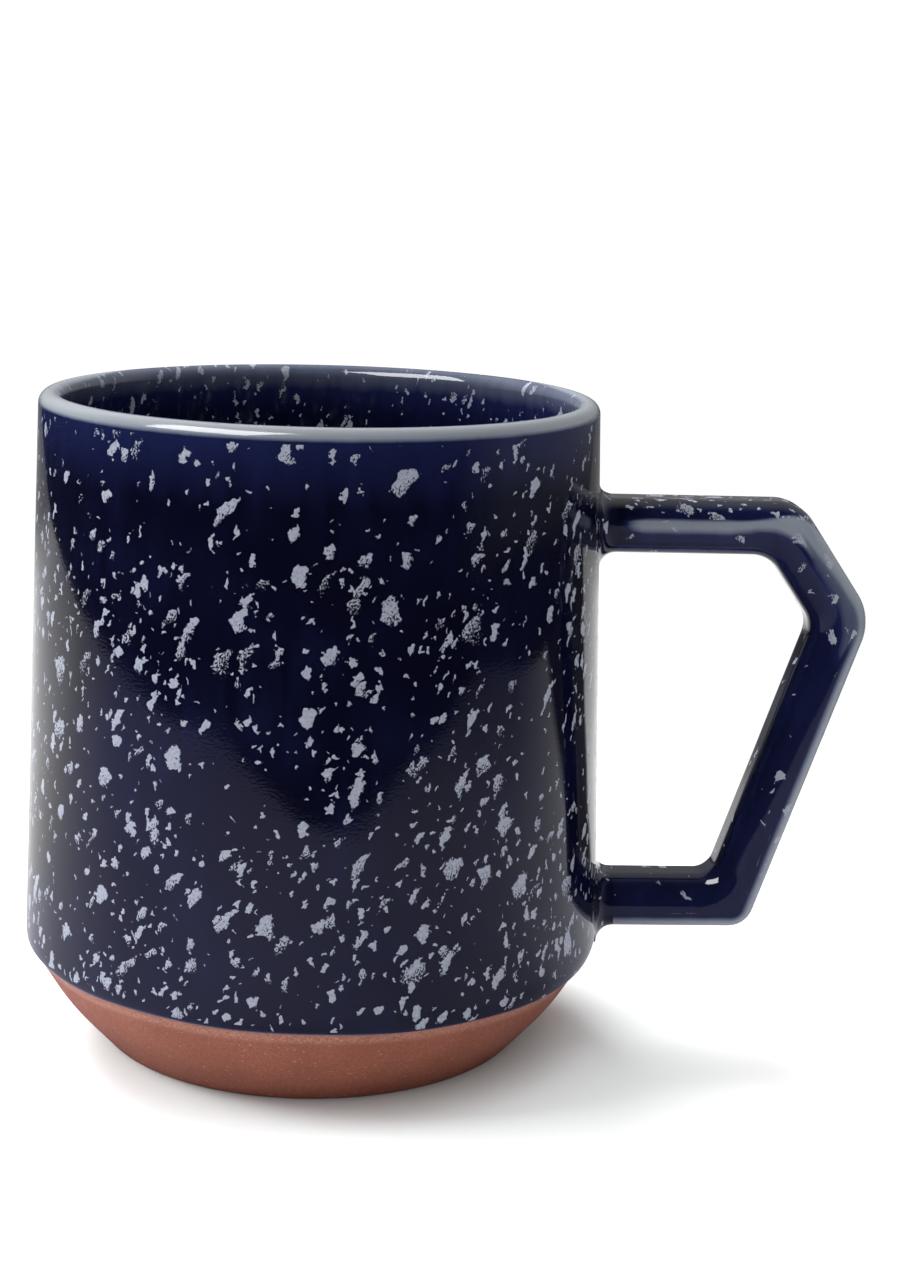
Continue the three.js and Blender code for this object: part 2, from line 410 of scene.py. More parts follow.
class Flecks:
    """One size class of pale flecks: bent ovals scattered on a stretched grid, torn and pinholed."""

    def __init__(self, cell, radius, stretch, lean, spread, share, tear, lace):
        self.cell = cell  # (across, along) spacing of the grid
        self.radius = radius  # (least, most) half width
        self.stretch = stretch  # (least, most) length over width
        self.lean = math.radians(lean)
        self.spread = math.radians(spread)
        self.share = share  # part of the cells that hold a fleck
        self.tear = tear  # (least, most) roughness of the edge
        self.lace = lace  # (most, least) pinholed: where the hole noise is cut off

    def mask(self, paint, skin, torn, holes, amount):
        """1 in a fleck and 0 outside, with `amount` scaling how many there are."""
        across, along = self.cell
        grid = paint.vector("MULTIPLY", paint.turn(skin, self.lean), (1 / across, 1 / along, 0))
        cells = paint.node("TexVoronoi", voronoi_dimensions="2D")
        cells.inputs["Scale"].default_value = 1
        cells.inputs["Randomness"].default_value = 0.65
        paint.put(grid, cells.inputs["Vector"])
        centre = cells.outputs["Position"]
        chance = paint.node("TexWhiteNoise", noise_dimensions="2D")
        paint.put(centre, chance.inputs["Vector"])
        pick_turn, pick_width, pick_length = paint.split(cells.outputs["Color"])
        pick_bow, pick_taper, pick_lace = paint.split(chance.outputs["Color"])

        off = paint.vector("MULTIPLY", paint.vector("SUBTRACT", grid, centre), (across, along, 0))
        off = paint.turn(off, paint.remap(pick_turn, 0, 1, -self.spread, self.spread))
        x, y, _ = paint.split(off)
        width = paint.remap(paint.math("POWER", pick_width, 1.6), 0, 1, *self.radius)
        length = paint.math("MULTIPLY", width, paint.remap(pick_length, 0, 1, *self.stretch))
        up = paint.math("DIVIDE", y, length)
        bow = paint.math("MULTIPLY", paint.remap(pick_bow, 0, 1, -0.3, 0.3), paint.math("MULTIPLY", up, y))
        taper = paint.math("MULTIPLY", paint.remap(pick_taper, 0, 1, -0.5, 0.6), up)
        side = paint.math("DIVIDE", paint.math("ADD", x, bow), width)
        tapered = paint.math("ADD", side, paint.math("MULTIPLY", taper, side))
        oval = paint.vector("LENGTH", paint.join(tapered, up))

        tear = paint.remap(pick_bow, 0, 1, *self.tear)
        ragged = paint.math("MULTIPLY", paint.math("SUBTRACT", torn, 0.5), tear)
        depth = paint.math("SUBTRACT", paint.math("SUBTRACT", 1, oval), ragged)
        inside = paint.remap(depth, 0.0, 0.1, smooth=True)
        cut = paint.remap(pick_lace, 0, 1, *self.lace)
        cut = paint.math("SUBTRACT", cut, paint.math("MULTIPLY", paint.math("SUBTRACT", side, up), 0.08))
        cut = paint.math("SUBTRACT", cut, paint.attribute("lace"))
        whole = paint.remap(paint.math("SUBTRACT", holes, cut), 0.0, 0.035, 1.0, 0.0)
        there = paint.math("LESS_THAN", chance.outputs["Value"], paint.math("MULTIPLY", amount, self.share))
        there = paint.math("MULTIPLY", there, self.off_seam(paint, centre))
        return paint.math("MULTIPLY", paint.math("MULTIPLY", inside, whole), there)

    def off_seam(self, paint, centre):
        """1 for a fleck that does not straddle the line where the skin coordinate starts again."""
        back = paint.vector("MULTIPLY", centre, (self.cell[0], self.cell[1], 0))
        u = paint.split(paint.turn(back, -self.lean))[0]
        margin = self.radius[1] * 1.3
        within = paint.math("PINGPONG", u, SHOULDER_RADIUS * math.pi)
        return paint.math("GREATER_THAN", within, margin)


WALL_FLECKS = (
    Flecks((6.3, 7.6), (0.65, 1.4), (1.15, 1.8), 20, 26, 0.42, (0.3, 1.9), (0.5, 0.74)),
    Flecks((4.4, 7.8), (0.34, 0.72), (2.0, 4.2), 28, 18, 0.46, (0.3, 1.9), (0.48, 0.76)),
    Flecks((2.9, 4.0), (0.26, 0.64), (1.25, 2.3), 18, 26, 0.56, (0.2, 1.5), (0.5, 0.84)),
    Flecks((1.6, 2.0), (0.08, 0.3), (1.0, 2.8), 22, 45, 0.5, (0.2, 1.4), (0.55, 1.0)),
)

INSIDE_SHIFT = (SHOULDER_RADIUS * 2 * math.pi, 60.0)  # a different part of the fleck pattern
HANDLE_SHIFT = (INSIDE_SHIFT[0] * 2 + 30, 20.0)

DEEP_NAVY = color(0.0013, 0.0015, 0.0085)
BRIGHT_NAVY = color(0.0085, 0.0125, 0.056)
SLATE = color(0.175, 0.2, 0.24)
PALE = color(0.222, 0.24, 0.262)
FLECK = color(0.315, 0.335, 0.405)
FLECK_SHADE = color(0.19, 0.207, 0.27)
FLECK_ROUGHNESS = 0.25


def fleck_mask(paint, skin, flecks):
    """1 in a fleck of any size class and 0 outside. Attribute `dots` is how many there are."""
    half = (0.5, 0.5, 0.5)
    coarse = paint.vector("SUBTRACT", paint.noise(skin, 1.3, 1, 0.6, colored=True), half)
    fine = paint.vector("SUBTRACT", paint.noise(skin, 0.4, 1, 0.6, colored=True), half)
    warp = paint.remap(paint.attribute("lace"), 0, 0.05, 0.9, 1.8)
    warped = paint.vector("ADD", skin, paint.vector("SCALE", coarse, warp))
    warped = paint.vector("ADD", warped, paint.vector("SCALE", fine, 0.65))
    torn = paint.noise(skin, 0.45, 3, 0.65)
    holes = paint.noise(paint.vector("MULTIPLY", paint.turn(skin, 0.5), (1, 0.6, 1)), 0.22, 2, 0.6)
    drips = paint.noise(paint.vector("MULTIPLY", skin, (1, 0.4, 1)), 6, 1)
    patches = paint.remap(paint.math("ADD", paint.noise(skin, 15, 1), drips), 0.75, 1.25, 0.35, 1.5)
    amount = paint.math("MULTIPLY", paint.attribute("dots"), patches)
    masks = [kind.mask(paint, warped, torn, holes, amount) for kind in flecks]
    return functools.reduce(lambda a, b: paint.math("MAXIMUM", a, b), masks)


def glaze_paint(name, flecks, shift=(0.0, 0.0)):
    """Glossy navy glaze with flecks. An attribute gives how thinly it lies, and so how pale; on the
    handle's outer rounds and on the lip's crest towards the handle, that paleness is partly painted
    reflection and highlight.
    """
    paint = Paint(name)
    place = paint.place()
    skin = paint.vector("ADD", paint.wrap(), (shift[0], shift[1], 0))
    thin_and_sheen = paint.attribute("thin_and_sheen")
    drift = paint.noise(place, 14, 2)
    streak = paint.noise(paint.vector("MULTIPLY", place, (1, 1, 0.25)), 2.5, 3)
    mottle = paint.math("MULTIPLY", paint.remap(drift, 0.4, 0.7), paint.remap(streak, 0.3, 0.75))
    navy = paint.blend(paint.math("MULTIPLY", mottle, 0.35), DEEP_NAVY, BRIGHT_NAVY)
    unevenness = paint.math("MULTIPLY", paint.math("SUBTRACT", streak, 0.5), 0.1)
    ragged_thin = paint.math("ADD", thin_and_sheen, unevenness)
    body = paint.blend(paint.remap(ragged_thin, 0.02, 0.3), navy, BRIGHT_NAVY)
    body = paint.blend(paint.remap(ragged_thin, 0.25, 0.6), body, SLATE)
    body = paint.blend(paint.remap(ragged_thin, 0.6, 0.95), body, PALE)

    fleck = fleck_mask(paint, skin, flecks)
    tone = paint.blend(paint.remap(paint.noise(skin, 0.4, 3, 0.7), 0.3, 0.65), FLECK_SHADE, FLECK)
    paint.put(paint.blend(fleck, body, tone), paint.shader.inputs["Base Color"])
    rough = paint.number_mix(fleck, paint.remap(thin_and_sheen, 0.55, 0.9, 0.06, 0.13), FLECK_ROUGHNESS)
    paint.put(rough, paint.shader.inputs["Roughness"])
    paint.shader.inputs["IOR"].default_value = 1.5

    ripple = paint.noise(paint.vector("MULTIPLY", place, (1, 1, 1.7)), 0.6, 1)
    height = paint.math("MULTIPLY", ripple, 0.1)
    height = paint.math("ADD", height, paint.math("MULTIPLY", fleck, 0.5))
    swell = paint.bump(paint.noise(place, 9, 0), 0.06)
    paint.put(paint.bump(height, 0.04, swell), paint.shader.inputs["Normal"])
    return paint.material


CLAY = color(0.265, 0.075, 0.04)
CLAY_LIGHT = color(0.325, 0.1, 0.055)
CLAY_DARK = color(0.215, 0.057, 0.03)
CLAY_SPECK = color(0.5, 0.3, 0.23)
CLAY_EDGE = color(0.55, 0.33, 0.27)


def clay_paint(name):
    """Matt terracotta with grain and tiny pale specks. Attribute `edge` is how near the glaze is."""
    paint = Paint(name)
    place = paint.place()
    grain = paint.noise(place, 0.35, 3, 0.7)
    cloud = paint.noise(place, 9, 3)
    warm = paint.blend(paint.remap(cloud, 0.35, 0.65), CLAY, CLAY_LIGHT)
    body = paint.blend(paint.remap(grain, 0.3, 0.7), warm, CLAY_DARK)
    speck = paint.remap(paint.noise(place, 0.45, 0), 0.76, 0.8)
    body = paint.blend(paint.math("MULTIPLY", speck, 0.4), body, CLAY_SPECK)
    edge = paint.math("MULTIPLY", paint.attribute("edge"), paint.remap(grain, 0.42, 0.62))
    body = paint.blend(paint.math("MULTIPLY", edge, 0.5), body, CLAY_EDGE)
    paint.put(body, paint.shader.inputs["Base Color"])
    paint.put(paint.remap(grain, 0.3, 0.7, 0.6, 0.8), paint.shader.inputs["Roughness"])
    paint.put(paint.bump(grain, 0.06), paint.shader.inputs["Normal"])
    return paint.material


# ---------------------------------------------------------------- outlines


def left_of(direction):
    return np.array([-direction[1], direction[0]])


def unit(vector):
    return vector / np.linalg.norm(vector)


def turn_angle(before, after):
    """The signed angle from one direction to another, anticlockwise."""
    cross = before[0] * after[1] - before[1] * after[0]
    return math.atan2(cross, float(np.dot(before, after)))


class Outline:
    """A line with rounded corners: places and right-hand normals against the distance along it."""

    LINE_STEP = 0.25
    ARC_STEP = math.radians(2.5)

    def __init__(self, corners):
        """corners: (x, y, bend radius) each."""
        points, normals = [], []
        at = [np.array(c[:2], float) for c in corners]
        for i, (_, _, radius) in enumerate(corners):
            before = unit(at[i] - at[i - 1]) if i > 0 else unit(at[1] - at[0])
            after = unit(at[i + 1] - at[i]) if i + 1 < len(at) else before
            angle = turn_angle(before, after)
            if radius == 0:
                self.line(points, normals, at[i], before)
                continue
            reach = radius * math.tan(abs(angle) / 2)
            start = at[i] - before * reach
            self.line(points, normals, start, before)
            side = math.copysign(radius, angle)
            centre = start + left_of(before) * side
            steps = max(2, math.ceil(abs(angle) / self.ARC_STEP))
            for k in range(1, steps + 1):
                part = angle * k / steps
                heading = before * math.cos(part) + left_of(before) * math.sin(part)
                points.append(centre - left_of(heading) * side)
                normals.append(-left_of(heading))
        self.points = np.array(points)
        self.normals = np.array(normals)
        lengths = np.linalg.norm(np.diff(self.points, axis=0), axis=1)
        self.distance = np.concatenate([[0], np.cumsum(lengths)])
        self.length = self.distance[-1]

    def line(self, points, normals, end, direction):
        """Straight on from the last point to `end`."""
        if points:
            start = points[-1]
            steps = max(1, math.ceil(np.linalg.norm(end - start) / self.LINE_STEP))
            for k in range(1, steps + 1):
                points.append(start + (end - start) * k / steps)
                normals.append(-left_of(direction))
        else:
            points.append(end)
            normals.append(-left_of(direction))

    def at(self, distance, lift=0.0):
        """The point at a distance along the line, `lift` out from it. Arrays give arrays."""
        place = [np.interp(distance, self.distance, self.points[:, k]) for k in (0, 1)]
        normal = [np.interp(distance, self.distance, self.normals[:, k]) for k in (0, 1)]
        return place[0] + normal[0] * lift, place[1] + normal[1] * lift

    def where_height(self, height, outside):
        """The distance at which the line passes a height, going up outside or down inside."""
        top = int(np.argmax(self.points[:, 1]))
        if outside:
            return float(np.interp(height, self.points[: top + 1, 1], self.distance[: top + 1]))
        falling = slice(top, None)
        return float(np.interp(-height, -self.points[falling, 1], self.distance[falling]))


cup_line = Outline(
    [
        (0, 0, 0),
        (FOOT_RADIUS, 0, FOOT_EDGE),
        (SWELL_RADIUS, SWELL_HEIGHT, SWELL_BLEND),
        (SHOULDER_RADIUS, SHOULDER_HEIGHT, SHOULDER_BLEND),
        (RIM_RADIUS, CUP_HEIGHT, RIM_WALL / 2),
        (RIM_RADIUS - RIM_WALL, CUP_HEIGHT, RIM_WALL / 2),
        (HEEL_RADIUS, FLOOR_THICKNESS, HEEL_BLEND),
        (0, FLOOR_THICKNESS, 0),
    ]
)
FOOT_CORNER = FOOT_RADIUS  # the line starts at the axis, so the foot's corner is this far along it
BAND_OUTSIDE = cup_line.where_height(LIP_BAND_LINE, outside=True)
BAND_INSIDE = cup_line.where_height(LIP_BAND_LINE, outside=False)
LIP_CREST = (BAND_OUTSIDE + BAND_INSIDE) / 2
UNDER_COAT = -0.05  # the glaze's underside reaches this far into the clay
around = np.linspace(0, 2 * math.pi, ROUND, endpoint=False)


def dip_distance(angle):
    """Where the outside glaze ends: a little higher on the side away from the handle, and wavering."""
    height = DIP_LINE - 0.7 * np.cos(angle) + 0.12 * np.sin(3 * angle + 0.7) + 0.06 * np.sin(11 * angle)
    return np.array([cup_line.where_height(h, outside=True) for h in np.atleast_1d(height)])


# ---------------------------------------------------------------- meshes


def grid_object(name, rows, wrap, closed, poles=(None, None), attributes=None):
    """A mesh on a grid of closed rings, in millimetres.

    rows is (rings, points round, 3). A closed grid joins its last ring to its first, and a pole
    closes an end with a fan. wrap is the skin coordinate of each ring's points, with one more
    column than the ring has, and one more row if the grid is closed.
    """
    rings, count = rows.shape[:2]
    points = rows.reshape(-1, 3)
    faces, corners = [], []
    column = np.arange(count)
    following = (column + 1) % count
    for i in range(rings if closed else rings - 1):
        j = (i + 1) % rings
        lower, upper = i * count, j * count
        quads = np.stack([lower + column, lower + following, upper + following, upper + column], 1)
        faces.extend(quads.tolist())
        square = np.stack([wrap[i, :-1], wrap[i, 1:], wrap[i + 1, 1:], wrap[i + 1, :-1]], 1)
        corners.append(square.reshape(-1, 2))
    extra = []
    for end, pole in zip((0, rings - 1), poles):
        if pole is None:
            continue
        tip = len(points) + len(extra)
        extra.append(pole)
        ring = end * count
        order = (following, column) if end == 0 else (column, following)
        fans = np.stack([ring + order[0], ring + order[1], np.full(count, tip)], 1)
        faces.extend(fans.tolist())
        first, second = (wrap[end, 1:], wrap[end, :-1]) if end == 0 else (wrap[end, :-1], wrap[end, 1:])
        corners.append(np.stack([first, second, (first + second) / 2], 1).reshape(-1, 2))
    if extra:
        points = np.concatenate([points, np.array(extra)])
    mesh = bpy.data.meshes.new(name)
    mesh.from_pydata((points * MM).tolist(), [], faces)
    layer = mesh.uv_layers.new(name="Wrap")
    layer.data.foreach_set("uv", np.concatenate(corners).astype(np.float32).ravel())
    for key, values in (attributes or {}).items():
        full = np.concatenate([np.asarray(values, float).ravel(), np.zeros(len(extra))])
        mesh.attributes.new(key, "FLOAT", "POINT").data.foreach_set("value", full.astype(np.float32))
    mesh.polygons.foreach_set("use_smooth", np.ones(len(mesh.polygons), bool))
    if signed_volume(mesh) < 0:
        mesh.flip_normals()
    made = bpy.data.objects.new(name, mesh)
    bpy.context.collection.objects.link(made)
    return made


def signed_volume(mesh):
    mesh.calc_loop_triangles()
    corners = np.empty(len(mesh.loop_triangles) * 3, np.int32)
    mesh.loop_triangles.foreach_get("vertices", corners)
    flat = np.empty(len(mesh.vertices) * 3, np.float32)
    mesh.vertices.foreach_get("co", flat)
    a, b, c = flat.reshape(-1, 3)[corners.reshape(-1, 3)].transpose(1, 0, 2).astype(float)
    return float(np.einsum("ij,ij->i", a, np.cross(b, c)).sum() / 6)


def sharpen(made, degrees):
    """Edges bent by more than an angle stay sharp."""
    made.data.set_sharp_from_angle(angle=math.radians(degrees))


def cup_ring(distance, lift):
    """A ring round the cup at a distance along its section and a lift off the clay."""
    radius, height = cup_line.at(np.broadcast_to(distance, around.shape), lift)
    return np.stack([radius * np.cos(around), radius * np.sin(around), height], 1)


def cup_wrap(distances):
    """Skin coordinates of rings at these distances, measured round the shoulder."""
    turn = np.append(around, 2 * math.pi) * SHOULDER_RADIUS
    rows = []
    for distance in distances:
        ring = np.broadcast_to(distance, around.shape)
        rows.append(np.stack([turn, np.append(ring, ring[0])], 1))
    return np.array(rows)


def fade(value, start, end):
    """0 before start, 1 after end, smooth between."""
    t = np.clip((value - start) / (end - start), 0, 1)
    return t * t * (3 - 2 * t)


def finish_piece(made, material, node):
    made.data.materials.append(material)
    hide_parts(node)
    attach(made, "root")


def cup_thinness_and_sheen(distance, height):
    """How thinly the glaze lies: palest on the lip's outer round, and a little thinner than elsewhere just
    under it.

    Towards the handle and away from it, the pale band also runs over the lip's crest; towards the handle
    this is partly a painted highlight.
    """
    out = LIP_CREST - distance
    ends = fade(-np.cos(around), 0.72, 0.97) + 0.8 * fade(np.cos(around), 0.76, 1.0)
    lip = fade(out + 2 * ends, -0.2, 0.5 + 1.8 * ends) * (1 - fade(out, 0.8, 2.5))
    under = 0.22 * np.clip(1 - np.abs(LIP_BAND_LINE - height) / 9, 0, 1)
    inner = 0.3 * (1 - fade(-out, 2, 10)) + 0.08 * (1 - fade(-out, 0.8, 4))
    inner = inner * fade(-out, -0.2, 0.4)
    return np.maximum(np.maximum(lip, under), inner)


def make_clay_cup():
    """The clay body: fine where it is bare, plain under the glaze."""
    bare = np.arange(FOOT_CORNER - 2, dip_distance(math.pi)[0] + 4, 0.35)
    covered = np.arange(bare[-1] + 2.5, cup_line.length - 2, 2.5)
    base = np.arange(3, FOOT_CORNER - 2, 3)
    distances = np.concatenate([base, bare, covered])
    rows = np.array([cup_ring(d, 0) for d in distances])
    dip = dip_distance(around)
    near = np.array([1 - fade(np.abs(d + 1.1 - dip), 0.3, 1.4) for d in distances])
    poles = ((0, 0, 0), (0, 0, FLOOR_THICKNESS))
    made = grid_object("cup_clay", rows, cup_wrap(distances), False, poles, {"edge": near})
    finish_piece(made, clay_paint("terracotta"), "clay_cup")


def make_outer_glaze():
    """The outside coat, from its rounded lower edge on the bevel up to the lip band."""
    dip = dip_distance(around)
    bead = np.concatenate([np.linspace(0, 0.9, 10), [1.2, 1.6, 2.1]])
    rest = np.linspace(0, 1, 100)[1:]
    distances, lifts = [], []
    for step in bead:
        distances.append(dip + step)
        round_edge = math.sqrt(max(0, 1 - (1 - min(step / 0.7, 1)) ** 2))
        lifts.append(COAT * round_edge)
    for part in rest:
        distances.append(dip + bead[-1] + part * (BAND_OUTSIDE - dip - bead[-1]))
        lifts.append(COAT)
    for part in (1, 0.5, 0):
        distances.append(dip + part * (BAND_OUTSIDE - dip))
        lifts.append(UNDER_COAT)
    rows = np.array([cup_ring(d, lift) for d, lift in zip(distances, lifts)])
    distances = np.array(distances)
    height = rows[:, :, 2]
    line = 0.42 * (1 - fade(distances - dip, 0.15, 0.9))
    thin_and_sheen = np.maximum(cup_thinness_and_sheen(distances, height), line)
    dots = (0.5 + 0.5 * (1 - fade(height, 72, 84))) * fade(distances - dip, 0.2, 1.5)
    wrap = cup_wrap([*distances, distances[0]])
    lace = 0.02 + 0.07 * fade(height, 45, 88)
    attributes = {"thin_and_sheen": thin_and_sheen, "dots": dots, "lace": lace}
    made = grid_object("glaze_outside", rows, wrap, True, attributes=attributes)
    sharpen(made, 40)
    finish_piece(made, glaze_paint("glaze_outside", WALL_FLECKS), "outer_glaze")


def make_rim_glaze():
    """The pale coat over the lip."""
    over = np.linspace(BAND_OUTSIDE, BAND_INSIDE, 36)
    distances = [*over, over[-1], over[17], over[0]]
    lifts = [COAT] * len(over) + [UNDER_COAT] * 3
    rows = np.array([cup_ring(d, lift) for d, lift in zip(distances, lifts)])
    spread = np.repeat(np.array(distances)[:, None], ROUND, 1)
    thin_and_sheen = cup_thinness_and_sheen(spread, rows[:, :, 2])
    wrap = cup_wrap([*distances, distances[0]])
    attributes = {"thin_and_sheen": thin_and_sheen, "dots": inside_dots(spread), "lace": np.full(thin_and_sheen.shape, 0.03)}
    made = grid_object("glaze_lip", rows, wrap, True, attributes=attributes)
    sharpen(made, 40)
    finish_piece(made, glaze_paint("glaze_lip", WALL_FLECKS[1:], INSIDE_SHIFT), "rim_glaze")


def inside_dots(distance):
    """How many flecks there are inside: they start at the lip's crest and stop above the floor."""
    down = distance - LIP_CREST
    return 0.75 * fade(down, -0.2, 0.3) * (1 - fade(down, 66, 80))


def make_inner_glaze():
    """The inside coat, from the lip band down the wall and over the floor."""
    down = np.linspace(BAND_INSIDE, cup_line.length - 1, 96)
    distances = [*down[::-3], BAND_INSIDE, *down]
    lifts = [UNDER_COAT] * (len(distances) - len(down)) + [COAT] * len(down)
    rows = np.array([cup_ring(d, lift) for d, lift in zip(distances, lifts)])
    spread = np.repeat(np.array(distances)[:, None], ROUND, 1)
    thin_and_sheen = cup_thinness_and_sheen(spread, rows[:, :, 2])
    poles = ((0, 0, FLOOR_THICKNESS + UNDER_COAT), (0, 0, FLOOR_THICKNESS + COAT))
    attributes = {"thin_and_sheen": thin_and_sheen, "dots": inside_dots(spread), "lace": np.full(thin_and_sheen.shape, 0.03)}
    made = grid_object("glaze_inside", rows, cup_wrap(distances), False, poles, attributes)
    sharpen(made, 40)
    material = glaze_paint("glaze_inside", WALL_FLECKS[1:], INSIDE_SHIFT)
    finish_piece(made, material, "inner_glaze")


# ---------------------------------------------------------------- handle


class HandleLine:
    """Stations along the handle: its outer and inner edges in X and Z, and the outward normal."""

    ARC_STEPS = 12
    LINE_STEP = 1.2

    def __init__(self, root_x):
        half = HANDLE_THICKNESS / 2
        centre = [
            (root_x, UPPER_ARM_HEIGHT, 0, 0),
            (UPPER_BEND_X, UPPER_ARM_HEIGHT, *UPPER_BEND_RADII),
            (KNEE_X, KNEE_HEIGHT, *KNEE_RADII),
            (LOWER_BEND_X, LOWER_ARM_HEIGHT, *LOWER_BEND_RADII),
            (root_x, LOWER_ARM_HEIGHT, 0, 0),
        ]
        at = [np.array(c[:2], float) for c in centre]
        outer, inner, normals = [], [], []
        for i, (_, _, outside, inside) in enumerate(centre):
            before = unit(at[i] - at[i - 1]) if i > 0 else unit(at[1] - at[0])
            after = unit(at[i + 1] - at[i]) if i + 1 < len(at) else before
            angle = turn_angle(before, after)
            mitre = (left_of(before) + left_of(after)) / (1 + float(np.dot(before, after)))
            outer_corner, inner_corner = at[i] + mitre * half, at[i] - mitre * half
            steps = self.ARC_STEPS if outside else 0
            bend = math.tan(abs(angle) / 2)
            for k in range(steps + 1):
                part = angle * k / steps if steps else 0.0
                normal = left_of(before * math.cos(part) + left_of(before) * math.sin(part))
                outer_centre = outer_corner - before * outside * bend - left_of(before) * outside
                inner_centre = inner_corner - before * inside * bend - left_of(before) * inside
                ends = outer_centre + normal * outside, inner_centre + normal * inside
                self.reach(outer, inner, normals, *ends, normal)
        self.outer, self.inner, self.normals = np.array(outer), np.array(inner), np.array(normals)
        middle = (self.outer + self.inner) / 2
        self.distance = np.concatenate([[0], np.cumsum(np.linalg.norm(np.diff(middle, axis=0), axis=1))])

    def reach(self, outer, inner, normals, outer_end, inner_end, normal):
        """Goes on to the next pair of edge points, with stations between on a long straight."""
        outer_start, inner_start = (outer[-1], inner[-1]) if outer else (outer_end, inner_end)
        steps = max(1, round(float(np.linalg.norm(outer_end - outer_start)) / self.LINE_STEP))
        for k in range(1, steps + 1):
            outer.append(outer_start + (outer_end - outer_start) * k / steps)
            inner.append(inner_start + (inner_end - inner_start) * k / steps)
            normals.append(normal)


def arm_section(inset):
    """The arm's section, from the middle of its outer face round the front and on round the back.

    Each entry is (edge, depth, y): edge 1 hangs from the outer edge of the handle and 0 from the
    inner one, and depth is how far inside that edge the point lies.
    """
    half = HANDLE_WIDTH / 2 - inset
    outer_deep = OUTER_ROUND[0] - inset
    outer_wide = OUTER_ROUND[1] - inset
    inner_deep = INNER_ROUND[0] - inset
    inner_wide = INNER_ROUND[1] - inset
    front = []
    for y in np.linspace(0, half - outer_wide, 4)[:-1]:
        front.append((1.0, 0.0, y))
    for part in np.linspace(0, math.pi / 2, 14):
        front.append((1.0, outer_deep * (1 - math.cos(part)), half - outer_wide * (1 - math.sin(part))))
    for part in np.linspace(math.pi / 2, 0, 14):
        front.append((0.0, inner_deep * (1 - math.cos(part)), half - inner_wide * (1 - math.sin(part))))
    for y in np.linspace(half - inner_wide, 0, 4)[1:]:
        front.append((0.0, 0.0, y))
    back = [(edge, depth, -y) for edge, depth, y in reversed(front[1:-1])]
    return front + back


def handle_rows(line, inset):
    """Rings of the handle's surface, `inset` inside its glaze, one for each station."""
    section = arm_section(inset)
    rows = []
    for outer, inner, normal in zip(line.outer, line.inner, line.normals):
        ring = []
        for edge, depth, y in section:
            base = outer - normal * (depth + inset) if edge else inner + normal * (depth + inset)
            ring.append((base[0], -y, base[1]))
        rows.append(ring)
    return np.array(rows)


def handle_wrap(rows, distance):
    """Skin coordinates: round the section, and along the handle."""
    closed = np.concatenate([rows, rows[:, :1]], 1)
    girth = np.cumsum(np.linalg.norm(np.diff(closed, axis=1), axis=2), 1)
    girth = np.concatenate([np.zeros((len(rows), 1)), girth], 1)
    return np.stack([girth, np.repeat(np.asarray(distance)[:, None], girth.shape[1], 1)], 2)


def wall_radius(height):
    """Radius of the glazed wall's outside at a height above the shoulder."""
    rise = (height - SHOULDER_HEIGHT) / (CUP_HEIGHT - SHOULDER_HEIGHT)
    return SHOULDER_RADIUS + (RIM_RADIUS - SHOULDER_RADIUS) * rise + COAT


def handle_thinness_and_sheen(section, distance, length):
    """How thinly the glaze lies, with painted reflection mixed in: it ran off the outer rounds, and the
    pale band there, partly a painted reflection, sits lower down on the upper arm.
    """
    depth = np.array([deep if edge else HANDLE_THICKNESS - deep for edge, deep, _ in section])[None, :]
    side = np.array([abs(y) for _, _, y in section])[None, :]
    along = np.asarray(distance)[:, None]
    upper = 1 - fade(along, 20, 40)

    def slide(on_upper, on_lower):
        return upper * on_upper + (1 - upper) * on_lower

    # A pale band along the outer round, which fades in from the joint. It is thin glaze and partly painted
    # reflection: its edges follow where a reflection's edge falls on each arm, lower on the upper arm, and
    # it fades out towards the inner edge there.
    start = fade(depth, slide(1.9, -1.5), slide(3.1, -0.5))
    end = 1 - fade(depth, slide(3.5, 0.9), slide(5.0, 3.1)) * slide(0.68, 1)
    end = end - 0.3 * upper * fade(depth, 5.5, 7.5)
    band = 0.68 * fade(along, 3.6, 8) * start * end * fade(side, slide(3.3, 0.5), slide(4.4, 3))
    # A fainter one over the face, from the upper bend to the knee.
    middle = fade(along, 24, 34) * (1 - fade(along, 46, 54))
    face = 0.36 * middle * (1 - fade(depth, 2, 6.8)) * fade(side, 2.8, 4.2)
    # A thin line on the inner round, and a trace all over the front and back.
    inner = slide(0.3, 0.16) * np.exp(-(((depth - 7.2) / 0.8) ** 2)) * fade(side, 2.0, 3.5)
    trace = 0.14 * fade(side, 3, 4.5) * fade(np.minimum(along, length - along), 3, 9)
    return np.maximum(np.maximum(band, inner), np.maximum(face, trace))


def handle_dots(section, distance, length):
    """How many flecks there are: few, and most of them on top of the upper arm."""
    free = fade(distance, 4, 9) * fade(length - distance, 4, 9)
    on_top = np.array([fade(2.4 - depth, 0, 1) if edge else 0.0 for edge, depth, _ in section])[None, :]
    early = (1 - fade(distance, 30, 38))[:, None]
    return free[:, None] * (0.2 + 1.5 * on_top * early)


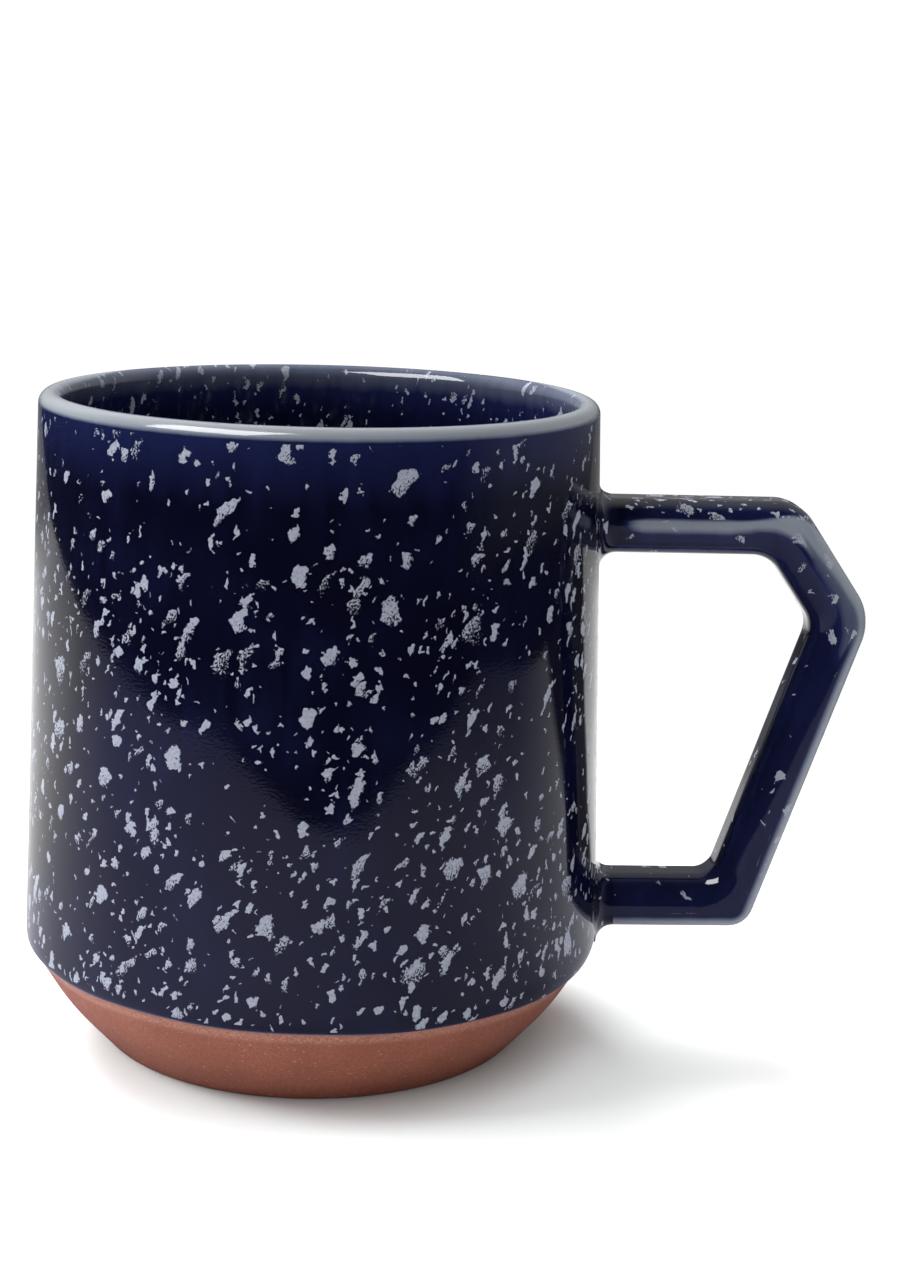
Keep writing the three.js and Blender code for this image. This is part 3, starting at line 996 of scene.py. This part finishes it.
def make_handle_glaze():
    """The glaze round the handle, with an outside and an inside skin."""
    line = HandleLine(wall_radius(UPPER_ARM_HEIGHT) - SINK)
    section = arm_section(0)
    rows = np.concatenate([handle_rows(line, 0), handle_rows(line, COAT)[::-1]])
    distance = np.concatenate([line.distance, line.distance[::-1]])
    wrap = handle_wrap(rows, distance)
    wrap = np.concatenate([wrap, wrap[:1]])
    length = line.distance[-1]
    thin_and_sheen = handle_thinness_and_sheen(section, distance, length)
    dots = handle_dots(section, distance, length)
    attributes = {"thin_and_sheen": thin_and_sheen, "dots": dots, "lace": np.full(thin_and_sheen.shape, 0.04)}
    made = grid_object("handle_glaze_skin", rows, wrap, True, attributes=attributes)
    sharpen(made, 50)
    material = glaze_paint("glaze_handle", WALL_FLECKS, HANDLE_SHIFT)
    finish_piece(made, material, "handle_glaze")


def make_handle_clay():
    """The clay bar inside the glaze, just clear of it."""
    line = HandleLine(wall_radius(UPPER_ARM_HEIGHT) - SINK + CORE_START)
    rows = handle_rows(line, COAT + CORE_GAP)
    poles = (rows[0].mean(0), rows[-1].mean(0))
    wrap = handle_wrap(rows, line.distance)
    made = grid_object("handle_clay", rows, wrap, False, poles, {"edge": np.zeros(rows.shape[:2])})
    sharpen(made, 50)
    finish_piece(made, clay_paint("terracotta_handle"), "clay_handle")


def wall_x(y, z):
    """Where the glazed wall's outside is, at a place across and a height."""
    return np.sqrt(wall_radius(z) ** 2 - y**2)


def arm_outline(upper):
    """The arm's section as (y, height from the arm's middle), and its outward normals."""
    half = HANDLE_THICKNESS / 2
    up = 1 if upper else -1  # the handle's outer edge is the upper one on the upper arm
    outline = []
    for edge, depth, y in arm_section(0):
        outline.append((-y, up * (half - depth if edge else depth - half)))
    outline = np.array(outline)
    tangent = np.roll(outline, -1, 0) - np.roll(outline, 1, 0)
    normal = np.stack([tangent[:, 1], -tangent[:, 0]], 1)
    normal /= np.linalg.norm(normal, axis=1)[:, None]
    if np.sum(normal * outline) < 0:
        normal = -normal
    return outline, normal


def joint_rows(height):
    """Rings of the fillet from the arm onto the wall, and back through the wall to the arm.

    Seen in section, a fillet leaves the arm along its length and lands flat on the wall.
    """
    outline, normal = arm_outline(height > CUP_HEIGHT / 2)
    y, z = outline[:, 0], outline[:, 1] + height
    foot_y, foot_z = y + normal[:, 0] * FILLET, z + normal[:, 1] * FILLET
    foot_x = wall_x(foot_y, foot_z)
    start = np.stack([wall_x(y, z) + FILLET, y, z], 1)
    end = np.stack([foot_x, foot_y, foot_z], 1)
    slope = (RIM_RADIUS - SHOULDER_RADIUS) / (CUP_HEIGHT - SHOULDER_HEIGHT)
    toward = np.stack([np.zeros(len(y)), -normal[:, 0], -normal[:, 1]], 1)
    toward[:, 0] = -(toward[:, 1] * foot_y - toward[:, 2] * wall_radius(foot_z) * slope) / foot_x
    first = start - np.array([FILLET_PULL, 0, 0])
    second = end + toward * FILLET_PULL
    rows = []
    for t in np.linspace(0, 1, FILLET_RINGS):
        weights = ((1 - t) ** 3, 3 * t * (1 - t) ** 2, 3 * t * t * (1 - t), t**3)
        rows.append(sum(w * p for w, p in zip(weights, (start, first, second, end))))
    sunk = end - np.array([FILLET_DEPTH, 0, 0])
    under = np.stack([wall_x(y, z) - FILLET_DEPTH, y - normal[:, 0] * COAT, z - normal[:, 1] * COAT], 1)
    inside = start - np.concatenate([np.zeros((len(y), 1)), normal * COAT], 1)
    return np.array([*rows, sunk, under, inside])


def make_joint(name, node, height):
    """A glazed slip fillet at an arm's root. Its flecks carry on from the wall's."""
    rows = joint_rows(height)
    angle = np.arctan2(rows[:, :, 1], rows[:, :, 0]) + 2 * math.pi
    climb = cup_line.where_height(height, outside=True) - height
    wrap = np.stack([angle * SHOULDER_RADIUS, rows[:, :, 2] + climb], 2)
    wrap = np.concatenate([wrap, wrap[:, :1]], 1)
    wrap = np.concatenate([wrap, wrap[:1]])
    hidden = len(rows) - FILLET_RINGS
    dots = np.concatenate([fade(np.linspace(0, 1, FILLET_RINGS), 0.1, 0.6), np.zeros(hidden)])
    dots = np.repeat(dots[:, None], rows.shape[1], 1)
    attributes = {"thin_and_sheen": np.full(dots.shape, 0.05), "dots": dots, "lace": np.full(dots.shape, 0.03)}
    made = grid_object(name, rows, wrap, True, attributes=attributes)
    sharpen(made, 50)
    finish_piece(made, glaze_paint(name, WALL_FLECKS), node)


# ---------------------------------------------------------------- the scene

bpy.context.scene.view_settings.view_transform = "Standard"
make_camera()
make_world()
make_floor()
make_lights()
make_clay_cup()
make_outer_glaze()
make_rim_glaze()
make_inner_glaze()
make_handle_glaze()
make_handle_clay()
make_joint("joint_upper", "upper_slip_joint", UPPER_ARM_HEIGHT)
make_joint("joint_lower", "lower_slip_joint", LOWER_ARM_HEIGHT)
